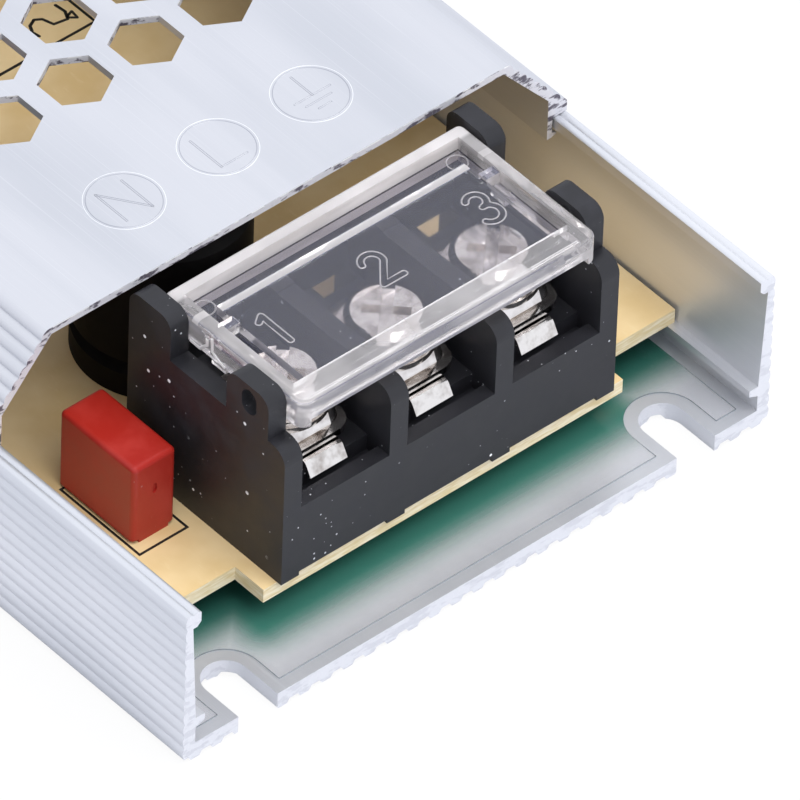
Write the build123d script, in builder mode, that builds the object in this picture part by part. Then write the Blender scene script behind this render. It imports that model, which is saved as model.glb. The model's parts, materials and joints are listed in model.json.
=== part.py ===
"""Slim LED driver: an extruded base channel and a vented slide-on cover around a circuit board.

The mains terminals sit at the -Y end and the output terminals at the +Y end.
X runs across the case, Z is up, and the origin is under the middle of the case.
Sizes are in millimetres.
"""
import math
import os

from build123d import *

os.makedirs("parts", exist_ok=True)

# Case
case_length = 160.0
case_width = 53.0
case_height = 21.2
floor_thickness = 1.1
floor_rib = 0.35
floor_rib_count = 27
floor_rib_crest = 0.75
floor_rib_flank = 0.25
wall_rib = 0.15
wall_rib_count = 12
wall_height = 13.7

# Inside of the base channel's walls, which grow thicker from the lip down to the ledge
wall_top_thickness = 0.5
wall_foot_thickness = 0.95
lip_reach = 0.7
lip_depth = 1.3
lip_bevel = 0.35
lip_ridge = 0.12
ledge_reach = 0.8
ledge_root = 0.9
ledge_nose = 0.55
board_height = 2.3

# Cover
cover_setback = 21.4
cover_thickness = 0.6
shoulder_thickness = 0.55
flat_width = 41.0
shoulder_rib = 0.22
shoulder_rib_count = 9
shoulder_foot = 0.65
leg_thickness = 0.45
leg_drop = 1.8
hook_reach = 0.45
hook_thickness = 0.45
slide_fit = 0.1
seat_gap = 0.03

# Hexagonal vents in the cover
vent_corner_radius = 2.7
vent_pitch = 6.34
vent_rows = 16
vent_row_pitch = 5.46
vents_per_row = 6

# Open mounting slots in the floor
slot_width = 3.5
slot_depth = 5.1
slot_spacing = 39.6

# Insulating film
film_thickness = 0.1
film_margin = 1.0

# Circuit board
board_thickness = 1.2
board_side_gap = 0.15
board_setback = 8.46
tongue_setback = 5.53
tongue_margin = 1.2

# Terminal blocks
way_pitch = 9.5
partition = 1.6
ac_ways = 3
dc_ways = 2
ac_block_x = 1.6
dc_block_x = 0.0
block_front = 5.1
block_depth = 16.2
ear_height = 15.85
ear_width = 4.3
ear_round = 1.1
front_ear_setback = 1.8
notch_height = 12.25
shoulder_round = 1.3
partition_height = 12.35
front_wall_height = 6.4
front_wall = 1.2
gutter_width = 1.1
gutter_drop = 1.05
deck_height = 6.7
rear_wall = 0.9
pocket_width = 3.0
pocket_offset = 2.1
pocket_length = 1.4
pocket_drop = 3.15
window_drop = 0.2
foot_recess = 0.35
fit_gap = 0.05

# Contact strips
contact_width = 6.4
contact_length = 10.0
contact_thickness = 0.8
lip_width = 3.3
lip_length = 1.25
lip_bend = 0.6
lip_slope = 60.0
lip_thickness = 0.45
tail_width = 1.6
tail_thickness = 0.8
tail_below_board = 1.0

# Clamps, washers and screws
screw_setback = 12.0
screw_diameter = 3.0
shank_length = 6.2
head_diameter = 5.9
head_height = 1.5
head_bevel = 0.45
slot_in_head = 0.9
slot_cut_depth = 0.8
cross_width = 0.8
cross_length = 3.4
clamp_gap = 0.2
clamp_thickness = 0.55
clamp_length = 8.4
clamp_corner = 1.55
clamp_rise = 0.8
saddle_inset = 0.75
saddle_slope = 0.35
washer_diameter = 7.0
washer_thickness = 0.45
turning_gap = 0.05
shank_clearance = 0.06
bore_clearance = 0.35

# Clear lids
lid_front = 5.45
lid_length = 14.4
lid_side_gap = 0.1
lid_top = 15.45
lid_height = 2.3
lid_front_height = 1.7
lid_rim = 1.05
lid_front_rim = 2.1
lid_side_groove = 1.2
lid_rear_groove = 1.95
lid_groove_depth = 1.1
lid_panel_drop = 0.35
lid_panel_thickness = 1.1
lid_front_corner = 0.9
lid_rear_corner = 0.5
lid_edge_round = 0.35
pin_setback = 19.0
pin_height = 13.95
pin_diameter = 1.5
pin_length = 0.7
nub_setback = 8.9
nub_rise = 0.4
nub_height = 0.05
nub_diameter = 1.2
ear_hole_width = 1.5
ear_hole_height = 2.1
catch_setback = 13.85
catch_width = 1.45
catch_drop = 1.2
catch_thickness = 0.5
bar_setback = 14.9
bar_width = 0.8

# Fuse
fuse_width = 3.8
fuse_length = 7.8
fuse_height = 6.75
fuse_standoff = 0.3
fuse_x = -16.85
fuse_setback = 14.4
fuse_round = 0.4
sprue_width = 0.44
sprue_height = 0.9
sprue_depth = 0.15

# Parts under the cover: how far each stands from its board edge and along the cover, as a share of its length
bulk_x = -4.0
bulk_share = 0.063
film_capacitor_edge = 9.7
film_capacitor_share = 0.227
line_choke_edge = 8.7
line_choke_share = 0.338
bridge_edge = 5.2
bridge_share = 0.491
controller_edge = 4.85
controller_share = 0.611
rectifier_share = 0.739
output_choke_edge = 12.2
output_choke_share = 0.875
transformer_share = 0.585
output_capacitor_x = 4.0
output_capacitor_shares = [0.773, 0.875]
inrush_edge = 8.2
inrush_share = 0.355
transistor_share = 0.423
safety_capacitor_edge = 5.0
safety_capacitor_share = 0.551
optocoupler_edge = 5.0
optocoupler_share = 0.654

# Bulk and output capacitors: upright sleeved cans with a rolled groove
bulk_diameter = 12.5
bulk_length = 13.5
output_can_diameter = 10.0
output_can_length = 12.5
can_edge = 0.6
groove_offset = 2.0
groove_width = 1.2
groove_depth = 0.6

# Film capacitor
film_capacitor_width = 13.0
film_capacitor_length = 6.0
film_capacitor_height = 11.0
film_capacitor_corner = 0.5

# Disc parts
inrush_diameter = 8.0
inrush_thickness = 3.2
safety_diameter = 7.0
safety_thickness = 3.6
disc_standoff = 2.0
disc_lead_spread = 0.6

# Chokes
choke_outer = 14.0
choke_inner = 7.0
choke_height = 6.5
choke_wire = 0.8

# Bridge rectifier
bridge_thickness = 4.0
bridge_length = 14.0
bridge_height = 10.0
bridge_standoff = 1.0
bridge_bevel = 0.8
bridge_lead_pitch = 3.8

# Transformer
core_width = 25.0
core_length = 21.0
core_height = 7.0
core_leg = 3.2
core_centre_leg = 7.0
core_yoke = 3.4
winding_height = 13.0
winding_bevel = 1.6

# Power packages
package_length = 9.0
package_width = 10.0
package_thickness = 4.5
package_bevel = 0.4
package_leg = 2.5
package_gap = 0.5
package_lead_pitch = 2.54
tab_length = 6.2
tab_thickness = 1.3
tab_hole = 3.6
lead_width = 0.8
lead_thickness = 0.5

# Small moulded circuits
controller_length = 9.4
optocoupler_length = 4.6
chip_width = 6.4
chip_thickness = 3.3
chip_standoff = 0.5
chip_bevel = 0.4

# Solder cones
solder_diameter = 3.2
solder_tip_diameter = 2.2

# Places that follow from the sizes above
half_length = case_length / 2
outer_wall = case_width / 2 - wall_rib
upper_wall = outer_wall - wall_top_thickness
lower_wall = outer_wall - wall_foot_thickness
lip_tip = upper_wall - lip_reach
lip_bottom = wall_height - lip_depth
floor_top = floor_rib + floor_thickness
ledge_top = floor_top + board_height
board_top = ledge_top + board_thickness
wall_shelf = wall_height - lip_ridge
cover_length = case_length - 2 * cover_setback
ceiling = case_height - cover_thickness
board_half = lower_wall - board_side_gap
tongue_depth = board_setback - tongue_setback
deck = board_top + deck_height
contact_top = deck + contact_thickness
clamp_bottom = contact_top + clamp_gap
clamp_top = clamp_bottom + clamp_thickness + clamp_rise
washer_top = clamp_top + washer_thickness
head_bottom = washer_top + turning_gap
bay_width = way_pitch - partition


def ribbed_edge(start, end, count, height):
    """Draw a row of round ribs from start to end, standing to the right of the way it runs."""
    run = Vector(end[0] - start[0], end[1] - start[1])
    outward = Vector(run.Y, -run.X).normalized() * height
    first = Vector(start[0], start[1])
    for rib in range(count):
        near = first + run * (rib / count)
        crest = first + run * ((rib + 0.5) / count) + outward
        far = first + run * ((rib + 1) / count)
        ThreePointArc(near, crest, far)


def flat_ribbed_edge(start, end, count, height, crest, flank):
    """Draw a row of flat-topped ribs from start to end, standing to the right of the way it runs."""
    run = Vector(end[0] - start[0], end[1] - start[1])
    along = run.normalized()
    outward = Vector(run.Y, -run.X).normalized() * height
    first = Vector(start[0], start[1])
    points = [first]
    for rib in range(count):
        middle = first + run * ((rib + 0.5) / count)
        points.append(middle - along * (crest / 2 + flank))
        points.append(middle - along * crest / 2 + outward)
        points.append(middle + along * crest / 2 + outward)
        points.append(middle + along * (crest / 2 + flank))
    points.append(Vector(end[0], end[1]))
    Polyline(*points)


def side_plane(inward, x):
    """Upright plane across the case at x: its first axis runs into the case from one end, its second up."""
    return Plane(origin=(x, -inward * half_length, 0), x_dir=(0, inward, 0), z_dir=(inward, 0, 0))


def plan_plane(inward, x, height):
    """Level plane at a height: its first axis runs across the case, its second into the case from one end."""
    return Plane(origin=(x, -inward * half_length, height), x_dir=(inward, 0, 0), z_dir=(0, 0, 1))


def way_places(centre, ways):
    """Middle of each way of a terminal block across the case."""
    return [centre + way_pitch * (way - (ways - 1) / 2) for way in range(ways)]


def on_board(setback):
    """Y of a place measured from the mains end of the case."""
    return setback - half_length


def under_cover(share):
    """Y of a place under the cover, given as a share of the cover's length from its mains end."""
    return share * cover_length - cover_length / 2


def can_outline(radius, length):
    """Draw half the outline of a can with a rolled groove, its first axis outwards and its second along."""
    Polyline(
        (0, 0),
        (radius, 0),
        (radius, groove_offset),
        (radius - groove_depth, groove_offset + groove_width / 2),
        (radius, groove_offset + groove_width),
        (radius, length - can_edge),
        (radius - can_edge, length),
        (0, length),
        close=True,
    )


# Base channel: ribbed floor, ribbed walls with a lip at the top and a ledge for the board
wall_inside = [
    (lip_tip, wall_shelf),
    (lip_tip, lip_bottom + lip_bevel),
    (lip_tip + lip_bevel, lip_bottom),
    (upper_wall, lip_bottom),
    (lower_wall, ledge_top),
    (lower_wall - ledge_reach, ledge_top),
    (lower_wall - ledge_reach, ledge_top - ledge_nose),
    (lower_wall, ledge_top - ledge_root),
    (lower_wall, floor_top),
]
with BuildPart() as base_channel:
    with BuildSketch(Plane.XZ.offset(half_length)) as channel_section:
        with BuildLine():
            flat_ribbed_edge(
                (-outer_wall, floor_rib), (outer_wall, floor_rib), floor_rib_count,
                floor_rib, floor_rib_crest, floor_rib_flank,
            )
            ribbed_edge((outer_wall, floor_rib), (outer_wall, wall_shelf), wall_rib_count, wall_rib)
            ribbed_edge((outer_wall, wall_shelf), (lip_tip, wall_shelf), 2, lip_ridge)
            Polyline(*wall_inside)
            Line(wall_inside[-1], (-lower_wall, floor_top))
            Polyline(*[(-x, z) for x, z in reversed(wall_inside)])
            ribbed_edge((-lip_tip, wall_shelf), (-outer_wall, wall_shelf), 2, lip_ridge)
            ribbed_edge((-outer_wall, wall_shelf), (-outer_wall, floor_rib), wall_rib_count, wall_rib)
        make_face()
    extrude(amount=-case_length)
    with BuildSketch(Plane.XY) as slot_outline:
        with GridLocations(slot_spacing, case_length, 2, 2):
            SlotOverall(2 * slot_depth, slot_width, rotation=90)
    extrude(amount=floor_top, mode=Mode.SUBTRACT)
base_channel.part.label = "base_channel"
export_step(base_channel.part, "parts/base_channel.step")

# Cover: flat vented top, ribbed shoulders and a hooked leg inside each wall's lip
shoulder_top = (flat_width / 2, case_height)
shoulder_end = (outer_wall, wall_height + shoulder_foot)
shoulder_run = Vector(shoulder_end[0] - shoulder_top[0], shoulder_end[1] - shoulder_top[1])
shoulder_shift = shoulder_thickness * shoulder_run.length / abs(shoulder_run.Y)
shoulder_lean = shoulder_run.X / abs(shoulder_run.Y)
leg_outside = lip_tip - slide_fit
leg_inside = leg_outside - leg_thickness
leg_bottom = wall_height - leg_drop
cover_foot = wall_height + seat_gap
inner_top_x = flat_width / 2 + cover_thickness * shoulder_lean - shoulder_shift
leg_start_z = case_height - (leg_inside + shoulder_shift - flat_width / 2) / shoulder_lean
cover_inside = [
    (inner_top_x, ceiling),
    (leg_inside, leg_start_z),
    (leg_inside, leg_bottom),
    (leg_outside, leg_bottom),
    (leg_outside + hook_reach, leg_bottom + hook_thickness / 2),
    (leg_outside, leg_bottom + hook_thickness),
    (leg_outside, cover_foot),
    (outer_wall, cover_foot),
]
with BuildPart() as top_cover:
    with BuildSketch(Plane.XZ.offset(cover_length / 2)) as cover_section:
        with BuildLine():
            Line((outer_wall, cover_foot), shoulder_end)
            ribbed_edge(shoulder_end, shoulder_top, shoulder_rib_count, shoulder_rib)
            Line(shoulder_top, (-flat_width / 2, case_height))
            ribbed_edge(
                (-flat_width / 2, case_height), (-shoulder_end[0], shoulder_end[1]),
                shoulder_rib_count, shoulder_rib,
            )
            Line((-shoulder_end[0], shoulder_end[1]), (-outer_wall, cover_foot))
            Polyline(*[(-x, z) for x, z in reversed(cover_inside)])
            Line((-inner_top_x, ceiling), (inner_top_x, ceiling))
            Polyline(*cover_inside)
        make_face()
    extrude(amount=-cover_length)
    with BuildSketch(Plane.XY.offset(case_height)) as vent_outlines:
        with GridLocations(vent_pitch, 2 * vent_row_pitch, vents_per_row, vent_rows // 2):
            with Locations((0, -vent_row_pitch / 2)):
                RegularPolygon(vent_corner_radius, 6, rotation=30)
        with GridLocations(vent_pitch, 2 * vent_row_pitch, vents_per_row - 1, vent_rows // 2):
            with Locations((0, vent_row_pitch / 2)):
                RegularPolygon(vent_corner_radius, 6, rotation=30)
    extrude(amount=-1.5 * cover_thickness, mode=Mode.SUBTRACT)
top_cover.part.label = "top_cover"
export_step(top_cover.part, "parts/top_cover.step")

# Insulating film on the floor, cut back around the mounting slots
with BuildPart() as insulating_film:
    with BuildSketch(Plane.XY.offset(floor_top)):
        Rectangle(2 * (lower_wall - film_margin), case_length - 2 * film_margin)
        with GridLocations(slot_spacing, case_length, 2, 2):
            SlotOverall(
                2 * (slot_depth + film_margin), slot_width + 2 * film_margin, rotation=90, mode=Mode.SUBTRACT
            )
    extrude(amount=film_thickness)
insulating_film.part.label = "insulating_film"
export_step(insulating_film.part, "parts/insulating_film.step")

# Circuit board on the ledges, with a tongue under each terminal block and slots for the contact tails
tail_setback = screw_setback + contact_length / 2
blocks = [("ac", 1, ac_block_x, ac_ways), ("dc", -1, dc_block_x, dc_ways)]
with BuildPart() as circuit_board:
    with BuildSketch(Plane.XY.offset(ledge_top)):
        Rectangle(2 * board_half, case_length - 2 * board_setback)
        for name, inward, centre, ways in blocks:
            tongue_width = ways * way_pitch + partition + 2 * tongue_margin
            with Locations((centre, -inward * (half_length - board_setback))):
                Rectangle(tongue_width, 2 * tongue_depth)
            for x in way_places(centre, ways):
                with Locations((x, -inward * (half_length - tail_setback))):
                    Rectangle(
                        tail_width + 4 * fit_gap, tail_thickness + 4 * fit_gap, mode=Mode.SUBTRACT
                    )
    extrude(amount=board_thickness)
circuit_board.part.label = "circuit_board"
export_step(circuit_board.part, "parts/circuit_board.step")

# Terminal blocks, each with its lid, contacts, clamps, washers and screws
block_back = block_front + block_depth
ear_top = board_top + ear_height
notch_floor = board_top + notch_height
partition_top = board_top + partition_height
front_wall_top = board_top + front_wall_height
gutter_back = block_front + front_wall + gutter_width
rear_face = block_back - rear_wall
front_ear = block_front + front_ear_setback
rear_ear = block_back - ear_width
pin_z = board_top + pin_height
nub_z = pin_z + nub_rise
lid_z = board_top + lid_top
lid_bottom = lid_z - lid_height
lid_back = lid_front + lid_length
cavity_back = lid_back - lid_rim
panel_front = lid_front + lid_front_rim
panel_back = cavity_back - lid_rear_groove
pin_radius = pin_diameter / 2
contact_front = screw_setback - contact_length / 2 + tail_thickness / 2
contact_rear = tail_setback + tail_thickness / 2
strip_front = screw_setback - clamp_length / 2 + clamp_corner
saddle_corner = clamp_corner - saddle_inset / 2

for name, inward, centre, ways in blocks:
    block_width = ways * way_pitch + partition
    inner_width = block_width - 2 * partition
    places = way_places(centre, ways)
    end_walls = [centre - (block_width - partition) / 2, centre + (block_width - partition) / 2]
    screw_y = -inward * (half_length - screw_setback)

    with BuildPart() as terminal_body:
        with BuildSketch(side_plane(inward, centre)) as wall_outline:
            with BuildLine():
                Polyline(
                    (block_front, board_top),
                    (block_front, notch_floor),
                    (front_ear, notch_floor),
                    (front_ear, ear_top),
                    (front_ear + ear_width, ear_top),
                    (front_ear + ear_width, notch_floor),
                    (rear_ear, notch_floor),
                    (rear_ear, ear_top),
                    (block_back, ear_top),
                    (block_back, board_top),
                    close=True,
                )
            make_face()
            fillet(wall_outline.vertices().group_by(Axis.Y)[-1], ear_round)
            fillet(wall_outline.vertices().group_by(Axis.Y)[1].sort_by(Axis.X)[0], shoulder_round)
        extrude(amount=block_width / 2, both=True)
        with BuildSketch(side_plane(inward, centre)):
            with Locations(((block_front + block_back) / 2, partition_top + ear_height / 2)):
                Rectangle(2 * block_depth, ear_height)
        extrude(amount=inner_width / 2, both=True, mode=Mode.SUBTRACT)
        for x in places:
            with BuildSketch(side_plane(inward, x)):
                with BuildLine():
                    Polyline(
                        (block_front - 1, front_wall_top),
                        (block_front + front_wall, front_wall_top),
                        (block_front + front_wall, front_wall_top - gutter_drop),
                        (gutter_back, front_wall_top - gutter_drop),
                        (gutter_back, deck),
                        (rear_face, deck),
                        (rear_face, partition_top + 1),
                        (block_front - 1, partition_top + 1),
                        close=True,
                    )
                make_face()
            extrude(amount=bay_width / 2, both=True, mode=Mode.SUBTRACT)
            with BuildSketch(side_plane(inward, x + inward * pocket_offset)):
                with BuildLine():
                    Polyline(
                        (rear_face - pocket_length, deck + 1),
                        (rear_face - pocket_length, deck - pocket_drop),
                        (block_back + 1, deck - pocket_drop),
                        (block_back + 1, deck - window_drop),
                        (rear_face, deck - window_drop),
                        (rear_face, deck + 1),
                        close=True,
                    )
                make_face()
            extrude(amount=pocket_width / 2, both=True, mode=Mode.SUBTRACT)
            with BuildSketch(side_plane(inward, x)):
                with Locations((block_front, board_top)):
                    Rectangle(2 * front_wall, 2 * foot_recess)
            extrude(amount=bay_width / 2, both=True, mode=Mode.SUBTRACT)
            with BuildSketch(Plane.XY.offset(board_top)):
                with Locations((x, -inward * (half_length - tail_setback))):
                    Rectangle(tail_width + 2 * fit_gap, tail_thickness + 2 * fit_gap)
            extrude(amount=deck_height, mode=Mode.SUBTRACT)
            with BuildSketch(Plane.XY.offset(deck)):
                with Locations((x, screw_y)):
                    Circle(screw_diameter / 2 + bore_clearance)
            extrude(amount=-(shank_length - clamp_gap), mode=Mode.SUBTRACT)
        for x in end_walls:
            with BuildSketch(side_plane(inward, x)):
                with Locations((nub_setback, nub_z)):
                    SlotOverall(ear_hole_height, ear_hole_width, rotation=90)
            extrude(amount=partition, both=True, mode=Mode.SUBTRACT)
            into_wall = 1 if x > centre else -1
            with BuildSketch(side_plane(inward, x - into_wall * partition / 2)):
                with Locations((pin_setback, pin_z)):
                    Circle(pin_radius + fit_gap)
            extrude(amount=into_wall * inward * (pin_length + 2 * fit_gap), mode=Mode.SUBTRACT)
    terminal_body.part.label = f"{name}_terminal_body"
    export_step(terminal_body.part, f"parts/{name}_terminal_body.step")

    lid_width = inner_width - 2 * lid_side_gap
    cavity_width = lid_width - 2 * lid_rim
    panel_width = cavity_width - 2 * lid_side_groove
    with BuildPart() as terminal_lid:
        with BuildSketch(plan_plane(inward, centre, lid_bottom)) as lid_outline:
            with Locations((0, (lid_front + lid_back) / 2)):
                Rectangle(lid_width, lid_length)
            fillet(lid_outline.vertices().group_by(Axis.Y)[0], lid_front_corner)
            fillet(lid_outline.vertices().group_by(Axis.Y)[-1], lid_rear_corner)
        extrude(amount=lid_height)
        fillet(terminal_lid.faces().sort_by(Axis.Z)[-1].outer_wire().edges(), lid_edge_round)
        with BuildSketch(plan_plane(inward, centre, lid_z)):
            with Locations((0, (panel_front + cavity_back) / 2)):
                Rectangle(cavity_width, cavity_back - panel_front)
            with Locations((0, (panel_front + panel_back) / 2)):
                Rectangle(panel_width, panel_back - panel_front, mode=Mode.SUBTRACT)
        extrude(amount=-lid_groove_depth, mode=Mode.SUBTRACT)
        with BuildSketch(plan_plane(inward, centre, lid_z)):
            with Locations((0, (panel_front + panel_back) / 2)):
                Rectangle(panel_width + 2 * fit_gap, panel_back - panel_front)
        extrude(amount=-lid_panel_drop, mode=Mode.SUBTRACT)
        with BuildSketch(plan_plane(inward, centre, lid_bottom)):
            with Locations((0, (lid_front + lid_rim + cavity_back) / 2)):
                Rectangle(cavity_width, cavity_back - lid_front - lid_rim)
        extrude(amount=lid_height - lid_panel_drop - lid_panel_thickness, mode=Mode.SUBTRACT)
        with BuildSketch(plan_plane(inward, centre, lid_bottom)):
            with Locations((0, lid_front)):
                Rectangle(lid_width - 2 * lid_front_corner, 4 * lid_rim)
        extrude(amount=lid_height - lid_front_height, mode=Mode.SUBTRACT)
        for side in (-1, 1):
            side_x = centre + side * lid_width / 2
            with BuildSketch(side_plane(inward, side_x - side * lid_rim)):
                with Locations((pin_setback, pin_z)):
                    Circle(pin_radius)
            extrude(amount=side * inward * (lid_rim + lid_side_gap + pin_length))
            with BuildSketch(side_plane(inward, side_x)):
                with Locations((nub_setback, nub_z)):
                    Circle(nub_diameter / 2)
            extrude(amount=side * inward * nub_height)
            with BuildSketch(side_plane(inward, side_x - side * lid_rim)):
                with Locations((catch_setback + catch_width / 2, lid_bottom)):
                    Rectangle(catch_width, 2 * catch_drop)
            extrude(amount=side * inward * catch_thickness)
            with BuildSketch(side_plane(inward, side_x - side * lid_rim)):
                with Locations((bar_setback, lid_z - (lid_groove_depth + lid_edge_round) / 2)):
                    Rectangle(bar_width, lid_groove_depth)
            extrude(amount=-side * inward * (lid_side_groove + fit_gap))
    terminal_lid.part.label = f"{name}_terminal_lid"
    export_step(terminal_lid.part, f"parts/{name}_terminal_lid.step")

    for number, x in enumerate(places, start=1):
        with BuildPart() as contact:
            with BuildSketch(side_plane(inward, x)):
                with Locations(((strip_front + contact_rear) / 2, deck + contact_thickness / 2)):
                    Rectangle(contact_rear - strip_front, contact_thickness)
            extrude(amount=contact_width / 2, both=True)
            with BuildSketch(side_plane(inward, x)) as lip_section:
                with BuildLine():
                    nose = Vector(-math.cos(math.radians(lip_slope)), -math.sin(math.radians(lip_slope)))
                    skin = Vector(nose.Y, -nose.X) * -lip_thickness
                    top = Vector(contact_front, contact_top)
                    tip = top + nose * lip_length
                    Polyline(
                        (strip_front, contact_top), top, tip, tip + skin,
                        (contact_front, deck), (strip_front, deck), close=True,
                    )
                make_face()
                fillet(lip_section.vertices().sort_by_distance(top)[0], lip_bend)
            extrude(amount=lip_width / 2, both=True)
            with BuildSketch(Plane.XY.offset(contact_top)):
                with Locations((x, -inward * (half_length - tail_setback))):
                    Rectangle(tail_width, tail_thickness)
            extrude(amount=-(contact_top - ledge_top + tail_below_board))
            with BuildSketch(Plane.XY.offset(contact_top)):
                with Locations((x, screw_y)):
                    Circle(screw_diameter / 2 + shank_clearance)
            extrude(amount=-contact_thickness, mode=Mode.SUBTRACT)
        contact.part.label = f"{name}_contact_{number}"
        export_step(contact.part, f"parts/{name}_contact_{number}.step")

        with BuildPart() as clamp:
            with BuildSketch(Plane.XY.offset(clamp_bottom)):
                with Locations((x, screw_y)):
                    RectangleRounded(contact_width, clamp_length, clamp_corner)
            extrude(amount=clamp_thickness)
            saddle_base = clamp_bottom + clamp_thickness
            saddle_length = clamp_length - 2 * saddle_inset
            with BuildSketch(Plane.XY.offset(saddle_base)):
                with Locations((x, screw_y)):
                    RectangleRounded(contact_width - saddle_inset, saddle_length, saddle_corner)
            with BuildSketch(Plane.XY.offset(clamp_top)):
                with Locations((x, screw_y)):
                    RectangleRounded(
                        contact_width - saddle_inset - saddle_slope, saddle_length - 2 * saddle_slope,
                        saddle_corner - saddle_slope / 2,
                    )
            loft()
            with BuildSketch(Plane.XY.offset(clamp_top)):
                with Locations((x, screw_y)):
                    Circle(screw_diameter / 2 + shank_clearance)
            extrude(amount=clamp_bottom - clamp_top, mode=Mode.SUBTRACT)
        clamp.part.label = f"{name}_clamp_{number}"
        export_step(clamp.part, f"parts/{name}_clamp_{number}.step")

        with BuildPart() as washer:
            with BuildSketch(Plane.XY.offset(clamp_top)):
                with Locations((x, screw_y)):
                    Circle(washer_diameter / 2)
                    Circle(screw_diameter / 2 + shank_clearance, mode=Mode.SUBTRACT)
            extrude(amount=washer_thickness)
        washer.part.label = f"{name}_washer_{number}"
        export_step(washer.part, f"parts/{name}_washer_{number}.step")

        with BuildPart() as screw:
            with BuildSketch(Plane.XY.offset(head_bottom)):
                with Locations((x, screw_y)):
                    Circle(head_diameter / 2)
            extrude(amount=head_height)
            chamfer(screw.edges().group_by(Axis.Z)[-1], head_bevel)
            with BuildSketch(Plane.XY.offset(head_bottom)):
                with Locations((x, screw_y)):
                    Circle(screw_diameter / 2)
            extrude(amount=-shank_length)
            chamfer(screw.edges().group_by(Axis.Z)[0], screw_diameter / 6)
            with BuildSketch(Plane.XY.offset(head_bottom + head_height)):
                with Locations((x, screw_y)):
                    Rectangle(head_diameter + 1, slot_in_head, rotation=45)
                    Rectangle(cross_length, cross_width, rotation=135)
            extrude(amount=-slot_cut_depth, mode=Mode.SUBTRACT)
        screw.part.label = f"{name}_screw_{number}"
        export_step(screw.part, f"parts/{name}_screw_{number}.step")

# Fuse: moulded box on small feet, with a sprue mark on its front face
with BuildPart() as fuse:
    fuse_y = on_board(fuse_setback) + fuse_length / 2
    with BuildSketch(Plane.XY.offset(board_top + fuse_standoff)):
        with Locations((fuse_x, fuse_y)):
            RectangleRounded(fuse_width, fuse_length, fuse_round)
    extrude(amount=fuse_height)
    fillet(fuse.faces().sort_by(Axis.Z)[-1].edges(), fuse_round)
    with BuildSketch(Plane.XY.offset(board_top)):
        with Locations((fuse_x, fuse_y)):
            with GridLocations(0, fuse_length - 3 * fuse_standoff, 1, 2):
                Rectangle(fuse_width - 4 * fuse_standoff, 3 * fuse_standoff)
    extrude(amount=fuse_standoff)
    with BuildSketch(Plane.XZ.offset(-on_board(fuse_setback))):
        with Locations((fuse_x, board_top + fuse_standoff + fuse_height * 0.6)):
            Ellipse(sprue_width / 2, sprue_height / 2)
    extrude(amount=-sprue_depth, mode=Mode.SUBTRACT)
fuse.part.label = "fuse"
export_step(fuse.part, "parts/fuse.step")

# Film capacitor against interference: potted box in the left corner under the cover
with BuildPart() as suppression_capacitor:
    with BuildSketch(Plane.XY.offset(board_top)) as film_outline:
        with Locations((film_capacitor_edge - board_half, under_cover(film_capacitor_share))):
            Rectangle(film_capacitor_width, film_capacitor_length)
        chamfer(film_outline.vertices(), film_capacitor_corner)
    extrude(amount=film_capacitor_height)
    chamfer(suppression_capacitor.faces().sort_by(Axis.Z)[-1].edges(), film_capacitor_corner / 2)
suppression_capacitor.part.label = "suppression_capacitor"
export_step(suppression_capacitor.part, "parts/suppression_capacitor.step")

# Disc parts stand on two legs: the inrush limiter and the safety capacitor
discs = [
    ("inrush_limiter", inrush_edge, inrush_share, inrush_diameter, inrush_thickness),
    ("safety_capacitor", safety_capacitor_edge, safety_capacitor_share, safety_diameter, safety_thickness),
]
for name, edge, share, diameter, thickness in discs:
    disc_x = board_half - edge
    disc_y = under_cover(share)
    middle = board_top + diameter / 2 + disc_standoff
    with BuildPart() as disc:
        with BuildSketch(Plane.XZ.offset(-disc_y)):
            with Locations((disc_x, middle)):
                Circle(diameter / 2)
        extrude(amount=thickness / 2, both=True)
        chamfer(disc.edges().filter_by(GeomType.CIRCLE), thickness / 3)
        with BuildSketch(Plane.XY.offset(board_top)):
            with Locations((disc_x, disc_y)):
                with GridLocations(diameter * disc_lead_spread, 0, 2, 1):
                    Rectangle(lead_thickness, lead_thickness)
        extrude(amount=middle - board_top)
    disc.part.label = name
    export_step(disc.part, f"parts/{name}.step")

# Mains choke and output choke: a ferrite ring lying flat with two wound halves
chokes = [
    ("line_choke", line_choke_edge, line_choke_share),
    ("output_choke", output_choke_edge, output_choke_share),
]
for name, edge, share in chokes:
    ring_x = edge - board_half
    ring_y = under_cover(share)
    ring_middle = (choke_outer + choke_inner) / 4
    ring_width = (choke_outer - choke_inner) / 2
    ring_z = board_top + choke_wire + choke_height / 2
    with BuildPart() as ring:
        with BuildSketch(Plane.XZ.offset(-ring_y)):
            with Locations((ring_x + ring_middle, ring_z)):
                Rectangle(ring_width, choke_height)
        revolve(axis=Axis((ring_x, ring_y, 0), (0, 0, 1)))
    ring.part.label = f"{name}_core"
    export_step(ring.part, f"parts/{name}_core.step")

    with BuildPart() as windings:
        for start in (15, 195):
            across = Vector(math.cos(math.radians(start)), math.sin(math.radians(start)))
            section = Plane(
                origin=(ring_x, ring_y, ring_z), x_dir=across, z_dir=(across.Y, -across.X, 0)
            )
            with BuildSketch(section) as wound_section:
                with Locations((ring_middle, 0)):
                    Rectangle(ring_width + 2 * choke_wire, choke_height + 2 * choke_wire)
                chamfer(wound_section.vertices(), choke_wire)
                with Locations((ring_middle, 0)):
                    Rectangle(ring_width, choke_height, mode=Mode.SUBTRACT)
            revolve(axis=Axis((ring_x, ring_y, 0), (0, 0, 1)), revolution_arc=150)
    windings.part.label = f"{name}_windings"
    export_step(windings.part, f"parts/{name}_windings.step")

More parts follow.
